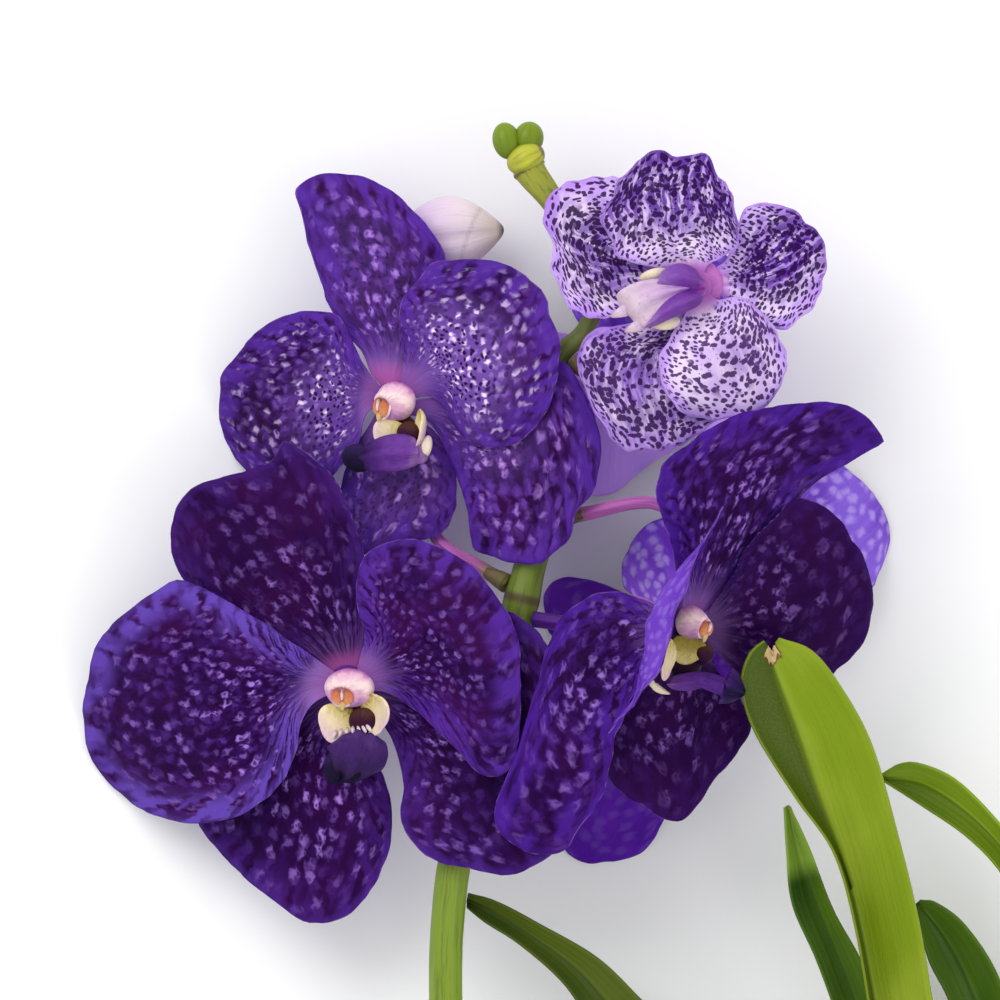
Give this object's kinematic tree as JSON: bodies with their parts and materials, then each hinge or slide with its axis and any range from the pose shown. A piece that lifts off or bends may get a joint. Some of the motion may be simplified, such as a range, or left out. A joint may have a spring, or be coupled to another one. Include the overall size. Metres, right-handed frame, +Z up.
{
  "type": "vanda orchid",
  "caption": "Cut vanda orchid lying on a surface: open violet and pale spotted blooms on an arching flower stem, with buds and folded strap leaves.",
  "frame": {"origin": "on the surface the plant lies on, under the middle of its outline seen from above", "axes": "+Z up from the surface, +Y along the flower stem towards its tip, +X to the right of the picture, which looks down along -Z"},
  "size_m": [0.3031, 0.3089, 0.0882],
  "materials": {
    "petal_purple": "satin, deep violet with a net of pale lilac spots",
    "petal_back_violet": "satin, plain violet back of a petal",
    "petal_lilac": "satin, white to lilac with dark purple dots",
    "column_blush": "waxy, pinkish white with an orange cap",
    "lip_violet": "waxy, dark violet middle lobe and cream side lobes",
    "pedicel_pink": "satin, lilac with fine ribs, green at its base",
    "stem_green": "satin, green with fine lengthwise lines",
    "leaf_green": "satin, bright leaf green with fine veins",
    "leaf_dark_green": "satin, dark leaf green",
    "bud_white": "waxy, white flushed with lilac",
    "bud_green": "waxy, yellow-green"
  },
  "bodies": {
    "root": {"bloom_a_column": "column_blush", "bloom_a_lip": "lip_violet", "bloom_a_petal_left": "petal_purple", "bloom_a_petal_right": "petal_purple", "bloom_a_sepal_left": "petal_purple", "bloom_a_sepal_right": "petal_purple", "bloom_a_sepal_top": "petal_purple", "bloom_b_column": "column_blush", "bloom_b_lip": "lip_violet", "bloom_b_petal_left": "petal_purple", "bloom_b_petal_right": "petal_purple", "bloom_b_sepal_left": "petal_purple", "bloom_b_sepal_right": "petal_purple", "bloom_b_sepal_top": "petal_purple", "bloom_c_column": "column_blush", "bloom_c_lip": "lip_violet", "bloom_c_petal_left": "petal_back_violet", "bloom_c_petal_right": "petal_purple", "bloom_c_sepal_left": "petal_purple", "bloom_c_sepal_right": "petal_purple", "bloom_c_sepal_top": "petal_purple", "bloom_d_column": "column_blush", "bloom_d_lip": "lip_violet", "bloom_d_petal_bottom": "petal_lilac", "bloom_d_petal_top": "petal_lilac", "bloom_d_sepal_bottom": "petal_lilac", "bloom_d_sepal_left": "petal_lilac", "bloom_d_sepal_right": "petal_lilac", "bloom_e_column": "column_blush", "bloom_e_lip": "lip_violet", "bloom_e_tepals": "petal_back_violet", "bloom_f_column": "column_blush", "bloom_f_lip": "lip_violet", "bloom_f_tepals": "petal_back_violet", "bud_pale": "bud_white", "bud_tip_left": "bud_green", "bud_tip_right": "bud_green", "flower_stem": "stem_green", "leaf_1": "leaf_green", "leaf_2": "leaf_green", "leaf_3": "leaf_dark_green", "leaf_4": "leaf_dark_green", "leaf_5": "leaf_green", "leaf_6": "leaf_green", "leaf_7": "leaf_green", "leafy_stem": "stem_green", "pedicel_a": "pedicel_pink", "pedicel_b": "pedicel_pink", "pedicel_bud": "pedicel_pink", "pedicel_c": "pedicel_pink", "pedicel_d": "pedicel_pink", "pedicel_e": "pedicel_pink", "pedicel_f": "pedicel_pink"}
  },
  "joints": []
}
